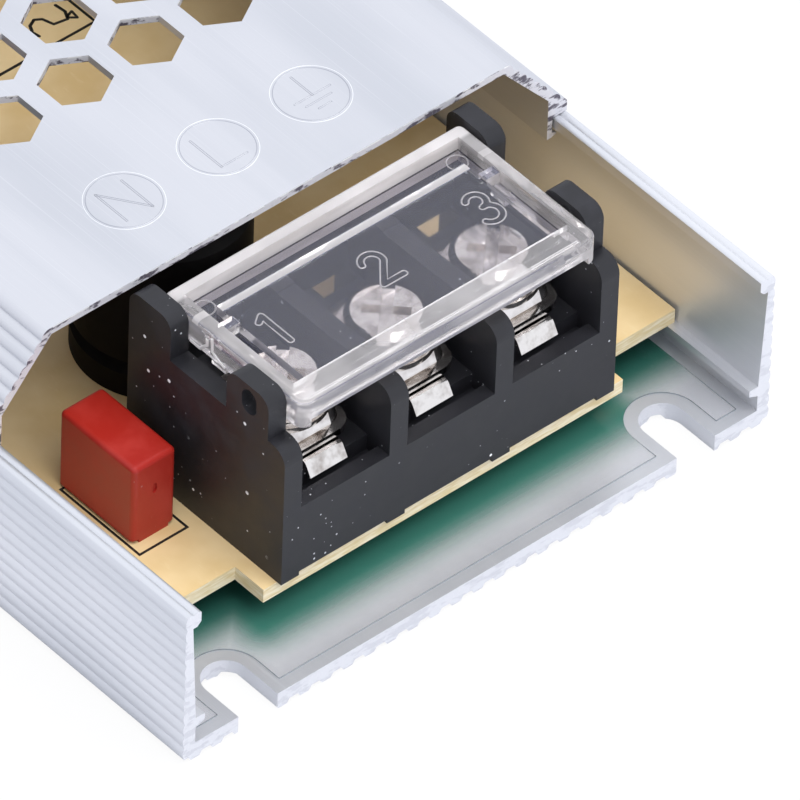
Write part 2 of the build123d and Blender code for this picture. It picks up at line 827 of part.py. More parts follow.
# Bridge rectifier: flat moulded package standing near the left wall
bridge_place = (bridge_edge - board_half, under_cover(bridge_share))
with BuildPart() as bridge_rectifier:
    with BuildSketch(Plane.XY.offset(board_top + bridge_standoff)):
        with Locations(bridge_place):
            Rectangle(bridge_thickness, bridge_length)
    extrude(amount=bridge_height)
    chamfer(bridge_rectifier.edges().filter_by(Axis.Z).sort_by(Axis.Y)[0:2], bridge_bevel)
    with BuildSketch(Plane.XY.offset(board_top)):
        with Locations(bridge_place):
            with GridLocations(0, bridge_lead_pitch, 1, 4):
                Rectangle(lead_thickness, lead_width)
    extrude(amount=bridge_standoff)
bridge_rectifier.part.label = "bridge_rectifier"
export_step(bridge_rectifier.part, "parts/bridge_rectifier.step")

# Transformer: a flat ferrite core around a taped winding, on the middle of the board
core_y = under_cover(transformer_share)
core_z = board_top + winding_height / 2
window_width = core_width - 2 * core_leg
window_length = core_length - 2 * core_yoke
with BuildPart() as transformer_core:
    with BuildSketch(Plane.XY.offset(core_z)):
        with Locations((0, core_y)):
            Rectangle(core_width, core_length)
            Rectangle(window_width, window_length, mode=Mode.SUBTRACT)
            Rectangle(core_centre_leg, window_length)
    extrude(amount=core_height / 2, both=True)
transformer_core.part.label = "transformer_core"
export_step(transformer_core.part, "parts/transformer_core.step")

with BuildPart() as transformer_winding:
    with BuildSketch(Plane.XZ.offset(-core_y)) as winding_section:
        with Locations((0, core_z)):
            Rectangle(window_width, winding_height)
        chamfer(winding_section.vertices(), winding_bevel)
        with Locations((0, core_z)):
            Rectangle(core_centre_leg, core_height, mode=Mode.SUBTRACT)
    extrude(amount=window_length / 2, both=True)
transformer_winding.part.label = "transformer_winding"
export_step(transformer_winding.part, "parts/transformer_winding.step")

# Power packages lie flat on the board, tab outwards, with their legs turned down to it
packages = [("power_transistor", 1, transistor_share), ("output_rectifier", -1, rectifier_share)]
for name, side, share in packages:
    package_y = under_cover(share)
    tab_edge = side * (leg_inside - package_gap)
    body_middle = tab_edge - side * (tab_length + package_length / 2)
    leg_x = body_middle - side * (package_length + package_leg) / 2
    with BuildPart() as package:
        with BuildSketch(Plane.XY.offset(board_top)):
            with Locations((tab_edge - side * (tab_length + package_length) / 2, package_y)):
                Rectangle(tab_length + package_length, package_width)
            with Locations((tab_edge - side * tab_length / 2, package_y)):
                Circle(tab_hole / 2, mode=Mode.SUBTRACT)
        extrude(amount=tab_thickness)
        with BuildSketch(Plane.XY.offset(board_top)):
            with Locations((body_middle, package_y)):
                Rectangle(package_length, package_width)
        extrude(amount=package_thickness)
        chamfer(package.faces().sort_by(Axis.Z)[-1].edges(), package_bevel)
        with BuildSketch(Plane.XY.offset(board_top + tab_thickness)):
            with Locations((leg_x, package_y)):
                with GridLocations(0, package_lead_pitch, 1, 3):
                    Rectangle(package_leg, lead_width)
        extrude(amount=lead_thickness)
        with BuildSketch(Plane.XY.offset(board_top)):
            with Locations((leg_x - side * (package_leg - lead_thickness) / 2, package_y)):
                with GridLocations(0, package_lead_pitch, 1, 3):
                    Rectangle(lead_thickness, lead_width)
        extrude(amount=tab_thickness)
    package.part.label = name
    export_step(package.part, f"parts/{name}.step")

# Upright cans: the bulk capacitor behind the mains terminals and the two output capacitors
cans = [("bulk_capacitor", bulk_x, bulk_share, bulk_diameter, bulk_length)]
for number, share in enumerate(output_capacitor_shares, start=1):
    can_name = f"output_capacitor_{number}"
    cans.append((can_name, output_capacitor_x, share, output_can_diameter, output_can_length))
for name, can_x, share, diameter, length in cans:
    can_y = under_cover(share)
    with BuildPart() as can:
        with BuildSketch(Plane.XZ.offset(-can_y)):
            with BuildLine(Plane(origin=(can_x, board_top, 0))):
                can_outline(diameter / 2, length)
            make_face()
        revolve(axis=Axis((can_x, can_y, 0), (0, 0, 1)))
    can.part.label = name
    export_step(can.part, f"parts/{name}.step")

# Small moulded circuits beside the transformer
chips = [
    ("controller_chip", controller_edge - board_half, controller_share, controller_length),
    ("optocoupler", board_half - optocoupler_edge, optocoupler_share, optocoupler_length),
]
for name, x, share, length in chips:
    lead_rows = int(length / package_lead_pitch + 0.4)
    with BuildPart() as chip:
        with BuildSketch(Plane.XY.offset(board_top + chip_standoff)):
            with Locations((x, under_cover(share))):
                Rectangle(chip_width, length)
        extrude(amount=chip_thickness)
        chamfer(chip.faces().sort_by(Axis.Z)[-1].edges(), chip_bevel)
        with BuildSketch(Plane.XY.offset(board_top)):
            with Locations((x, under_cover(share))):
                with GridLocations(chip_width + lead_width, package_lead_pitch, 2, lead_rows):
                    Rectangle(lead_width, lead_width)
        extrude(amount=chip_standoff + chip_thickness / 2)
    chip.part.label = name
    export_step(chip.part, f"parts/{name}.step")

# Solder cones under the board at the contact tails
with BuildPart() as solder_joints:
    for name, inward, centre, ways in blocks:
        for x in way_places(centre, ways):
            with BuildSketch(Plane.XY.offset(ledge_top)):
                with Locations((x, -inward * (half_length - tail_setback))):
                    Circle(solder_diameter / 2)
            with BuildSketch(Plane.XY.offset(ledge_top - tail_below_board)):
                with Locations((x, -inward * (half_length - tail_setback))):
                    Circle(solder_tip_diameter / 2)
            loft()
            with BuildSketch(Plane.XY.offset(ledge_top)):
                with Locations((x, -inward * (half_length - tail_setback))):
                    Rectangle(tail_width + 2 * fit_gap, tail_thickness + 2 * fit_gap)
            extrude(amount=-tail_below_board, mode=Mode.SUBTRACT)
solder_joints.part.label = "solder_joints"
export_step(solder_joints.part, "parts/solder_joints.step")
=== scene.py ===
"""Looks of a slim LED driver: ribbed aluminium case, circuit board and lidded screw terminals.

X runs across the case, Y along it with the mains terminals at -Y, and Z is up. Blender works in metres, and
the classes below hold their sizes in millimetres.
"""
import json
import logging
import math
from dataclasses import dataclass, field
from enum import Enum

import bpy
from mathutils import Matrix, Vector


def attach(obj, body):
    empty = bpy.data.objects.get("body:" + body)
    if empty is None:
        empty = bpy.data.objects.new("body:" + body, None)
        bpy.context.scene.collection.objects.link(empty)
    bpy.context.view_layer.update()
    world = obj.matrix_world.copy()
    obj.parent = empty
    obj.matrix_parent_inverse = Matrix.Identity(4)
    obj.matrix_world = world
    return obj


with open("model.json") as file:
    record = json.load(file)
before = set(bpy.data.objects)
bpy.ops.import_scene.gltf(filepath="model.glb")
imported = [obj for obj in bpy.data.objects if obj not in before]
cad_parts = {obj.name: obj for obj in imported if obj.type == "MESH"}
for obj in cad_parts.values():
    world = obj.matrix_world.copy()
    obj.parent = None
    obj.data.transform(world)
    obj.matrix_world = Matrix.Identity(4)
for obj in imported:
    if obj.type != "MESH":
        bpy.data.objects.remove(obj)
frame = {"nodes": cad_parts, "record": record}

log = logging.getLogger("driver")

Socket = bpy.types.NodeSocket
Colour = tuple[float, float, float, float]

MM = 0.001
HALF_LENGTH = 80.0  # mm from the middle of the case to either end
COVER_TOP = 21.2  # mm from the underside of the case to the top of its cover
ARC_STEP = 12  # degrees from point to point along an arc
BEAD_SQUASH = 0.5  # an embossed bead is half as high as it is round
FILM_DRAW_IN = 0.01  # mm between the film and the floor of the case that it lies on


def srgb(code: str) -> Colour:
    """Turns an sRGB hex value into a linear colour.

    Args:
        code: Six hex digits.

    Returns:
        Linear red, green and blue, and full alpha.
    """
    channels = [int(code[i:i + 2], 16) / 255 for i in (0, 2, 4)]
    red, green, blue = (c / 12.92 if c <= 0.04045 else ((c + 0.055) / 1.055) ** 2.4 for c in channels)
    return (red, green, blue, 1.0)


def per(size_mm: float) -> float:
    """Gives the texture scale at which one cell of a pattern is size_mm wide."""
    return 1000.0 / size_mm


def add_node(tree: bpy.types.NodeTree, kind: str, inputs: dict | None = None,
             **settings: object) -> bpy.types.Node:
    """Adds a node with its settings, values and links.

    Args:
        tree: Node tree that the node goes into.
        kind: Blender's name for the node's type.
        inputs: Value or output socket for each input, by the input's name or number.
        settings: Properties of the node itself.

    Returns:
        The new node.
    """
    node = tree.nodes.new(kind)
    for name, value in settings.items():
        setattr(node, name, value)
    for key, value in (inputs or {}).items():
        if isinstance(value, Socket):
            tree.links.new(value, node.inputs[key])
        else:
            node.inputs[key].default_value = value
    return node


class Recipe:
    """A material in the making: its node tree, its shader and the patterns that feed it."""

    def __init__(self, name: str) -> None:
        """Starts an empty material with a Principled shader.

        Args:
            name: Name of the material.
        """
        self.material = bpy.data.materials.new(name)
        self.material.use_nodes = True
        self.tree = self.material.node_tree
        self.tree.nodes.clear()
        self.output = self.add("ShaderNodeOutputMaterial")
        self.shader = self.add("ShaderNodeBsdfPrincipled")
        self.tree.links.new(self.shader.outputs[0], self.output.inputs["Surface"])
        place = self.add("ShaderNodeTexCoord")
        self.place = place.outputs["Object"]
        self.normal = place.outputs["Normal"]

    def add(self, kind: str, inputs: dict | None = None, **settings: object) -> bpy.types.Node:
        """Adds a node to this material, as add_node does."""
        return add_node(self.tree, kind, inputs, **settings)

    def surface(self, **values: Socket | Colour | float) -> None:
        """Sets or links the shader's sockets.

        Args:
            values: Value or output socket for each socket, with _ for a blank in its name.
        """
        for name, value in values.items():
            socket = self.shader.inputs[name.replace("_", " ")]
            if isinstance(value, Socket):
                self.tree.links.new(value, socket)
            else:
                socket.default_value = value

    def grain(self, cell_mm: float, stretch: tuple[float, float, float] = (1, 1, 1), detail: float = 3,
              roughness: float = 0.55) -> Socket:
        """Noise whose cells are cell_mm wide, drawn out by stretch along each axis.

        Args:
            cell_mm: Size of one cell in millimetres.
            stretch: How many times longer a cell is along X, Y and Z.
            detail: Finer layers that are added.
            roughness: Strength of the finer layers.

        Returns:
            The noise from 0 to 1.
        """
        scale = tuple(per(cell_mm) / s for s in stretch)
        mapping = self.add("ShaderNodeMapping", {"Vector": self.place, "Scale": scale})
        noise = self.add("ShaderNodeTexNoise", {
            "Vector": mapping.outputs[0], "Scale": 1.0, "Detail": detail, "Roughness": roughness})
        return noise.outputs[0]

    def band(self, value: Socket, low: float, high: float, start: float = 0.0, end: float = 1.0) -> Socket:
        """Maps the stretch of a value from low to high onto start to end, smoothly and clamped.

        Args:
            value: The value.
            low: Value that becomes start.
            high: Value that becomes end.
            start: First end of the result.
            end: Second end of the result.

        Returns:
            The mapped value.
        """
        node = self.add("ShaderNodeMapRange", {
            "Value": value, "From Min": low, "From Max": high, "To Min": start, "To Max": end},
            interpolation_type="SMOOTHSTEP")
        return node.outputs[0]

    def blend(self, share: Socket | float, first: Socket | Colour, second: Socket | Colour) -> Socket:
        """Mixes two colours: first where share is 0, second where it is 1."""
        node = self.add("ShaderNodeMix", {0: share, 6: first, 7: second}, data_type="RGBA")
        return node.outputs[2]

    def work(self, operation: str, first: Socket | float, second: Socket | float = 0.0) -> Socket:
        """Combines two numbers by one of the Math node's operations."""
        return self.add("ShaderNodeMath", {0: first, 1: second}, operation=operation).outputs[0]

    def part(self, vector: Socket, axis: int) -> Socket:
        """Takes one axis of a place or a normal."""
        return self.add("ShaderNodeSeparateXYZ", {0: vector}).outputs[axis]

    def facing(self, axis: int) -> Socket:
        """How squarely the surface faces along an axis of the object, from 0 to 1."""
        return self.work("ABSOLUTE", self.part(self.normal, axis))

    def overlay(self, share: Socket, layer: bpy.types.Node) -> None:
        """Lays another shader over the Principled one where share is 1."""
        mixed = self.add("ShaderNodeMixShader", {0: share, 1: self.shader.outputs[0], 2: layer.outputs[0]})
        self.tree.links.new(mixed.outputs[0], self.output.inputs["Surface"])

    def relief(self, height: Socket, depth_mm: float, strength: float,
               under: Socket | None = None) -> Socket:
        """Turns a height from 0 to 1 into a bumped normal.

        Args:
            height: The pattern's height.
            depth_mm: Real height of the pattern in millimetres.
            strength: Share of the bump that is applied.
            under: Normal that the bump is laid over.

        Returns:
            The bumped normal.
        """
        inputs = {"Height": height, "Distance": depth_mm * MM, "Strength": strength}
        if under is not None:
            inputs["Normal"] = under
        return self.add("ShaderNodeBump", inputs).outputs[0]

    def dust(self, spacing_mm: float, size_mm: float, share: float) -> Socket:
        """White specks of dust, thinly and unevenly spread.

        Args:
            spacing_mm: Distance between specks.
            size_mm: Radius of the largest speck.
            share: Value of the patchy noise above which specks show.

        Returns:
            1 on a speck and 0 beside it.
        """
        cells = self.add("ShaderNodeTexVoronoi", {"Vector": self.place, "Scale": per(spacing_mm)})
        size = self.part(cells.outputs["Color"], 0)
        radius = self.work("MULTIPLY", self.work("POWER", size, 3.0), size_mm / spacing_mm)
        spot = self.work("LESS_THAN", cells.outputs["Distance"], radius)
        patches = self.band(self.grain(cell_mm=6.0), share, share + 0.1)
        return self.work("MULTIPLY", spot, patches)


@dataclass(frozen=True)
class Finish:
    """What every finish has: a name, and a material that is made once."""

    name: str

    def material(self) -> bpy.types.Material:
        """Makes the material on first use and gives the same one after that."""
        found = bpy.data.materials.get(self.name)
        return found if found is not None else self.mix(Recipe(self.name))

    def mix(self, recipe: Recipe) -> bpy.types.Material:
        """Fills in the recipe. Each finish has its own.

        Args:
            recipe: The empty material.

        Returns:
            The finished material.
        """
        raise NotImplementedError


@dataclass(frozen=True)
class ExtrudedAluminium(Finish):
    """Mill-finish extruded aluminium.

    The die gives it a bright satin skin with fine lines along the bar, and the saw leaves pale chatter,
    torn nicks and burrs on its cut ends, with a painted white glint along the top of the burrs.
    """

    name: str = "extruded_aluminium_satin"
    skin: str = "E4E5E9"
    shade: str = "D7D9DE"
    line: str = "F1F2F4"
    sawn: str = "DFE0E5"
    torn: str = "D2D3D9"
    # painted highlight: the glint on the burrs at the top of the cut ends
    burr_glint: str = "FFFFFF"
    line_mm: float = 0.1  # real die lines and saw marks are finer, and are drawn coarser so that they show
    saw_mm: float = 0.12
    streak_mm: float = 1.3
    patch_mm: float = 9.0
    nick_mm: float = 0.6
    burr_mm: float = 0.7
    metal: float = 0.75
    cut_metal: float = 0.4

    def mix(self, recipe: Recipe) -> bpy.types.Material:
        """Draws lines along the bar, chatter and nicks across its ends, and a painted white glint on the
        burrs along their upper edge.

        Args:
            recipe: The empty material.

        Returns:
            The finished material.
        """
        lines = recipe.grain(self.line_mm, (1, 300, 1), 3, 0.6)
        streaks = recipe.grain(self.streak_mm, (1, 90, 1), 2, 0.5)
        patches = recipe.grain(self.patch_mm, (1, 3, 1), 2, 0.5)
        chatter = recipe.grain(self.saw_mm, (1, 1, 2.5), 4, 0.65)
        nicks = recipe.grain(self.nick_mm, (2.6, 1, 1), 3, 0.6)
        ends = recipe.band(recipe.facing(1), 0.55, 0.8)
        skin = recipe.blend(recipe.band(patches, 0.35, 0.7), srgb(self.skin), srgb(self.shade))
        skin = recipe.blend(recipe.band(streaks, 0.45, 0.75, 0.0, 0.35), skin, srgb(self.shade))
        skin = recipe.blend(recipe.band(lines, 0.55, 0.8, 0.0, 0.35), skin, srgb(self.line))
        cut = recipe.blend(recipe.band(nicks, 0.5, 0.6), srgb(self.sawn), srgb(self.torn))
        cut = recipe.blend(recipe.band(chatter, 0.55, 0.7, 0.0, 0.35), cut, srgb(self.line))
        # painted highlight: pure white where the burrs at the top of the cut ends catch the light
        level = recipe.part(recipe.place, 2)
        crest = recipe.band(level, (COVER_TOP - 0.16) * MM, (COVER_TOP - 0.04) * MM)
        burrs = recipe.band(recipe.grain(self.burr_mm, (1.4, 1, 1), 2, 0.5), 0.45, 0.5)
        cut = recipe.blend(recipe.work("MULTIPLY", crest, burrs), cut, srgb(self.burr_glint))
        colour = recipe.blend(ends, skin, cut)
        height = recipe.add("ShaderNodeMix", {0: ends, 2: lines, 3: chatter}, data_type="FLOAT").outputs[0]
        metallic = recipe.band(ends, 0.0, 1.0, self.metal, self.cut_metal)
        rough = recipe.band(lines, 0.2, 0.8, 0.4, 0.5)
        recipe.surface(
            Base_Color=colour, Metallic=metallic, Roughness=rough, Normal=recipe.relief(height, 0.008, 0.3))
        return recipe.material


@dataclass(frozen=True)
class Laminate(Finish):
    """Pressed paper and glass laminate.

    It has a matte tan face with faint fibres, a pale fluffy routed edge and a glossy green mask underneath.
    """

    name: str = "circuit_board_laminate"
    face: str = "E6CC9C"
    mottle: str = "D8BA84"
    edge: str = "E9DDC2"
    mask: str = "2E8F70"
    fibre: str = "E9D3A6"
    ply: str = "D8C496"
    fibre_mm: float = 0.5  # drawn several times coarser than the glass cloth, so that it shows
    cloud_mm: float = 5.0
    ply_mm: float = 0.22

    def mix(self, recipe: Recipe) -> bpy.types.Material:
        """Tells the upper face, the edge and the masked underside apart by where they face.

        Args:
            recipe: The empty material.

        Returns:
            The finished material.
        """
        level = recipe.part(recipe.normal, 2)
        up = recipe.band(level, 0.4, 0.6)
        down = recipe.band(recipe.work("MULTIPLY", level, -1.0), 0.4, 0.6)
        fibres = recipe.grain(self.fibre_mm, (1, 3, 1), 4, 0.6)
        clouds = recipe.grain(self.cloud_mm, (1, 1, 1), 3, 0.5)
        face = recipe.blend(recipe.band(clouds, 0.3, 0.75), srgb(self.face), srgb(self.mottle))
        face = recipe.blend(recipe.band(fibres, 0.55, 0.8, 0.0, 0.35), face, srgb(self.fibre))
        plies = recipe.grain(self.ply_mm, (8, 8, 1), 3, 0.6)
        edge = recipe.blend(recipe.band(plies, 0.35, 0.65), srgb(self.ply), srgb(self.edge))
        colour = recipe.blend(up, edge, face)
        colour = recipe.blend(down, colour, srgb(self.mask))
        rough = recipe.band(down, 0.0, 1.0, 0.55, 0.22)
        recipe.surface(Base_Color=colour, Roughness=rough, Normal=recipe.relief(fibres, 0.02, 0.3))
        return recipe.material


@dataclass(frozen=True)
class MouldedPlastic(Finish):
    """Injection-moulded or dipped plastic.

    It has a dull even skin with the mould's fine grain, faint flow marks and specks of dust.
    """

    name: str = "moulded_plastic"
    body: str = "1B1B1F"
    haze: str = "27272C"
    dust: str = "C4C5CA"
    fluff: str = "F2F2F4"
    grain_mm: float = 0.12  # a spark-eroded mould is finer, and is drawn this coarse so that it shows
    haze_mm: float = 2.5
    dust_mm: tuple[float, float] = (0.5, 0.09)  # distance between specks and radius of the largest
    fluff_mm: tuple[float, float] = (1.9, 0.2)
    rough: float = 0.5
    dusty: float = 0.45
    ior: float = 1.5

    def mix(self, recipe: Recipe) -> bpy.types.Material:
        """Lays soft lighter haze over the skin, and dust over that where dusty is under 1.

        Args:
            recipe: The empty material.

        Returns:
            The finished material.
        """
        grain = recipe.grain(self.grain_mm, (1, 1, 1), 3, 0.6)
        haze = recipe.grain(self.haze_mm, (1, 1, 1), 4, 0.6)
        colour = recipe.blend(recipe.band(haze, 0.4, 0.8), srgb(self.body), srgb(self.haze))
        colour = recipe.blend(recipe.band(grain, 0.55, 0.85, 0.0, 0.25), colour, srgb(self.haze))
        if self.dusty < 1:
            colour = recipe.blend(recipe.dust(*self.dust_mm, self.dusty), colour, srgb(self.dust))
            colour = recipe.blend(recipe.dust(*self.fluff_mm, self.dusty), colour, srgb(self.fluff))
        rough = recipe.band(haze, 0.3, 0.8, self.rough - 0.05, self.rough + 0.1)
        recipe.surface(
            Base_Color=colour, Roughness=rough, IOR=self.ior, Normal=recipe.relief(grain, 0.01, 0.35))
        return recipe.material


@dataclass(frozen=True)
class ClearPlastic(Finish):
    """Clear moulded polycarbonate: glassy, with the light that its rims and edges gather painted on them as
    a whitish glow.
    """

    name: str = "clear_polycarbonate"
    tint: str = "F4F2F4"
    # painted highlight: the whitish light that the rims, the rear edge and the step gather is painted in
    # this colour over the clear plastic
    painted_highlight: str = "F6F2F2"
    panel: str = "9DA6E8"
    rough: float = 0.05
    ior: float = 1.58
    haze_mm: float = 2.4
    streak_mm: float = 1.6
    panel_haze_and_highlight: float = 0.03
    rim_highlight: float = 0.36
    rim_height_mm: float = 20.25
    rear_highlight: float = 0.42
    rear_mm: float = 61.4
    step_highlight: float = 0.55
    step_mm: float = 63.5
    step_half_mm: float = 0.4
    step_height_mm: float = 20.02
    shining_through: float = 0.45

    def mix(self, recipe: Recipe) -> bpy.types.Material:
        """Leaves the panel clear, and paints the light gathered by the rims, the upright edges and the
        hinge's step as a whitish overlay.

        Args:
            recipe: The empty material.

        Returns:
            The finished material.
        """
        haze = recipe.grain(self.haze_mm, (1, 1, 1), 2, 0.5)
        streaks = recipe.grain(self.streak_mm, (4, 4, 1), 2, 0.5)
        rough = recipe.band(haze, 0.3, 0.8, self.rough * 0.6, self.rough * 2)
        recipe.surface(
            Base_Color=srgb(self.tint), Roughness=rough, IOR=self.ior, Transmission_Weight=1.0,
            Normal=recipe.relief(haze, 0.01, 0.1))
        height = recipe.part(recipe.place, 2)
        rim = recipe.band(height, (self.rim_height_mm - 0.1) * MM, (self.rim_height_mm + 0.05) * MM)
        upright = recipe.band(recipe.facing(2), 0.75, 0.4)
        edge = recipe.work("MAXIMUM", rim, upright)
        streaky = recipe.band(streaks, 0.35, 0.65, 0.55, 1.15)
        along = recipe.work("ABSOLUTE", recipe.part(recipe.place, 1))
        rear = recipe.band(along, (self.rear_mm + 0.2) * MM, (self.rear_mm - 0.2) * MM)
        off_step = recipe.work("ABSOLUTE", recipe.work("SUBTRACT", along, self.step_mm * MM))
        on_step = recipe.band(off_step, self.step_half_mm * MM, (self.step_half_mm - 0.15) * MM)
        step_level = recipe.band(
            height, (self.step_height_mm - 0.07) * MM, self.step_height_mm * MM, 0.0, self.step_highlight)
        step = recipe.work("MULTIPLY", on_step, step_level)
        # painted highlight on the rims, the rear edge and the hinge's step
        highlight_share = recipe.work("MULTIPLY", streaky, self.rim_highlight)
        highlight_share = recipe.work("ADD", recipe.work("MULTIPLY", rear, self.rear_highlight), highlight_share)
        share = recipe.work("MAXIMUM", recipe.work("MULTIPLY", edge, highlight_share), step)
        share = recipe.work("ADD", share, self.panel_haze_and_highlight)
        whitish = recipe.work("MAXIMUM", edge, recipe.work("MULTIPLY", step, 2.0))
        highlight_colour = recipe.blend(whitish, srgb(self.panel), srgb(self.painted_highlight))
        diffuse = recipe.add("ShaderNodeBsdfDiffuse", {"Color": highlight_colour})
        through = recipe.add("ShaderNodeBsdfTranslucent", {"Color": highlight_colour})
        painted_highlight = recipe.add(
            "ShaderNodeMixShader", {0: self.shining_through, 1: diffuse.outputs[0], 2: through.outputs[0]})
        recipe.overlay(share, painted_highlight)
        return recipe.material


@dataclass(frozen=True)
class ClearFilm(Finish):
    """Thin drawn polyester film.

    It is almost invisible in the open; near the board it carries a painted reflection of the board's green
    underside, with painted shade where it runs under the board.
    """

    name: str = "polyester_film"
    tint: str = "E8E6EA"
    edge: str = "6F7C84"
    # painted reflection of the board's green underside, and painted shade where it runs under the board
    green: str = "3B7366"
    shaded_green: str = "164039"
    ripple_mm: float = 7.0
    board_setback_mm: float = 8.46
    tongue_setback_mm: float = 5.53
    tongue_half_mm: float = 11.5
    mains_tongue_half_mm: float = 16.25
    mains_tongue_middle_mm: float = 1.6
    reach_mm: float = 4.8  # how far the painted reflection shows past the board
    shaded_green_mm: float = 4.0
    painted_reflection_alpha: float = 0.75
    edge_alpha: float = 0.7
    clear_alpha: float = 0.05

    def mix(self, recipe: Recipe) -> bpy.types.Material:
        """Works out how near each place is to the board's outline, and fades the painted green reflection
        away from it.

        Args:
            recipe: The empty material.

        Returns:
            The finished material.
        """
        ripple = recipe.grain(self.ripple_mm, (1, 1, 1), 2, 0.5)
        flat = recipe.add("ShaderNodeNewGeometry").outputs["True Normal"]
        right, ahead = recipe.part(recipe.place, 0), recipe.part(recipe.place, 1)
        along = recipe.work("ABSOLUTE", ahead)
        mains = recipe.work("LESS_THAN", ahead, 0.0)
        middle = recipe.work("MULTIPLY", mains, self.mains_tongue_middle_mm * MM)
        wider = recipe.work("MULTIPLY", mains, (self.mains_tongue_half_mm - self.tongue_half_mm) * MM)
        half = recipe.work("ADD", wider, self.tongue_half_mm * MM)
        off_middle = recipe.work("ABSOLUTE", recipe.work("SUBTRACT", right, middle))
        across = recipe.work("SUBTRACT", off_middle, half)
        rear = (HALF_LENGTH - self.board_setback_mm) * MM
        front = (HALF_LENGTH - self.tongue_setback_mm) * MM
        reach = self.reach_mm * MM
        # painted reflection: green near the board and its tongue, darker with painted shade further under
        # the board
        board = recipe.band(along, rear + reach, rear)
        before_front, beside = recipe.band(along, front + reach, front), recipe.band(across, reach, 0.0)
        tongue = recipe.work("MULTIPLY", before_front, beside)
        under = recipe.work("MAXIMUM", board, tongue)
        into_shade = recipe.band(along, front, rear - self.shaded_green_mm * MM)
        green = recipe.blend(into_shade, srgb(self.green), srgb(self.shaded_green))
        upright = recipe.band(recipe.work("ABSOLUTE", recipe.part(flat, 2)), 0.6, 0.3)
        colour = recipe.blend(under, srgb(self.tint), green)
        colour = recipe.blend(upright, colour, srgb(self.edge))
        alpha = recipe.work("MULTIPLY", under, self.painted_reflection_alpha)
        alpha = recipe.work("MAXIMUM", alpha, recipe.work("MULTIPLY", upright, self.edge_alpha))
        alpha = recipe.work("MAXIMUM", alpha, self.clear_alpha)
        recipe.surface(
            Base_Color=colour, Roughness=0.2, IOR=1.5, Alpha=alpha,
            Normal=recipe.relief(ripple, 0.05, 0.2, flat))
        return recipe.material


@dataclass(frozen=True)
class NickelPlate(Finish):
    """Nickel-plated pressed steel: warm bright metal whose gloss shows the rolled sheet's streaks."""

    name: str = "nickel_plated_steel"
    bright: str = "EBE7E3"
    dull: str = "B0A8A2"
    rough: float = 0.1
    streak_mm: float = 0.2  # drawn coarser than the rolling marks, so that they show
    cloud_mm: float = 1.6

    def mix(self, recipe: Recipe) -> bpy.types.Material:
        """Streaks the gloss along the sheet and dulls it in soft clouds.

        Args:
            recipe: The empty material.

        Returns:
            The finished material.
        """
        streaks = recipe.grain(self.streak_mm, (1, 6, 1), 3, 0.6)
        clouds = recipe.grain(self.cloud_mm, (1, 1, 1), 3, 0.6)
        colour = recipe.blend(recipe.band(clouds, 0.4, 0.75), srgb(self.bright), srgb(self.dull))
        rough = recipe.band(streaks, 0.3, 0.8, self.rough * 0.6, self.rough * 1.7)
        recipe.surface(
            Base_Color=colour, Metallic=1.0, Roughness=rough, Normal=recipe.relief(streaks, 0.012, 0.3))
        return recipe.material


@dataclass(frozen=True)
class Ferrite(Finish):
    """Pressed and sintered ferrite: dull dark grey with a fine sandy grain."""

    name: str = "sintered_ferrite"
    body: str = "3A3A3C"
    speck: str = "56565A"
    grain_mm: float = 0.15

    def mix(self, recipe: Recipe) -> bpy.types.Material:
        """Scatters paler grains over a dull ceramic face.

        Args:
            recipe: The empty material.

        Returns:
            The finished material.
        """
        sand = recipe.grain(self.grain_mm, (1, 1, 1), 4, 0.7)
        colour = recipe.blend(recipe.band(sand, 0.4, 0.8), srgb(self.body), srgb(self.speck))
        recipe.surface(Base_Color=colour, Roughness=0.6, Normal=recipe.relief(sand, 0.03, 0.4))
        return recipe.material


@dataclass(frozen=True)
class CopperWire(Finish):
    """Enamelled copper wire, wound closely round a ring: glossy ridges with painted shade in the dark lines
    between them.
    """

    name: str = "enamelled_copper"
    wire: str = "B4603A"
    shaded_gap: str = "4A2012"
    middle_mm: tuple[float, float] = (0.0, 0.0)
    pitch_degrees: float = 7.5
    stray_mm: float = 2.0
    stray: float = 0.8  # how far a turn strays to the side, as a share of the pitch

    def mix(self, recipe: Recipe) -> bpy.types.Material:
        """Lets the turns run out from the ring's middle, each a little out of line.

        Args:
            recipe: The empty material.

        Returns:
            The finished material.
        """
        across, along = (
            recipe.work("SUBTRACT", recipe.part(recipe.place, axis), middle * MM)
            for axis, middle in enumerate(self.middle_mm))
        widest = math.radians(self.pitch_degrees) * self.stray
        stray = recipe.work("MULTIPLY", recipe.grain(self.stray_mm, (1, 1, 1), 1, 0.5), widest)
        angle = recipe.work("ADD", recipe.work("ARCTAN2", along, across), stray)
        turns = recipe.work(
            "ABSOLUTE", recipe.work("SINE", recipe.work("MULTIPLY", angle, 180.0 / self.pitch_degrees)))
        # painted shade in the creases between the turns
        colour = recipe.blend(recipe.band(turns, 0.05, 0.6), srgb(self.shaded_gap), srgb(self.wire))
        recipe.surface(
            Base_Color=colour, Metallic=0.6, Roughness=0.3, Coat_Weight=0.6, Coat_Roughness=0.15,
            Normal=recipe.relief(turns, 0.2, 0.5))
        return recipe.material


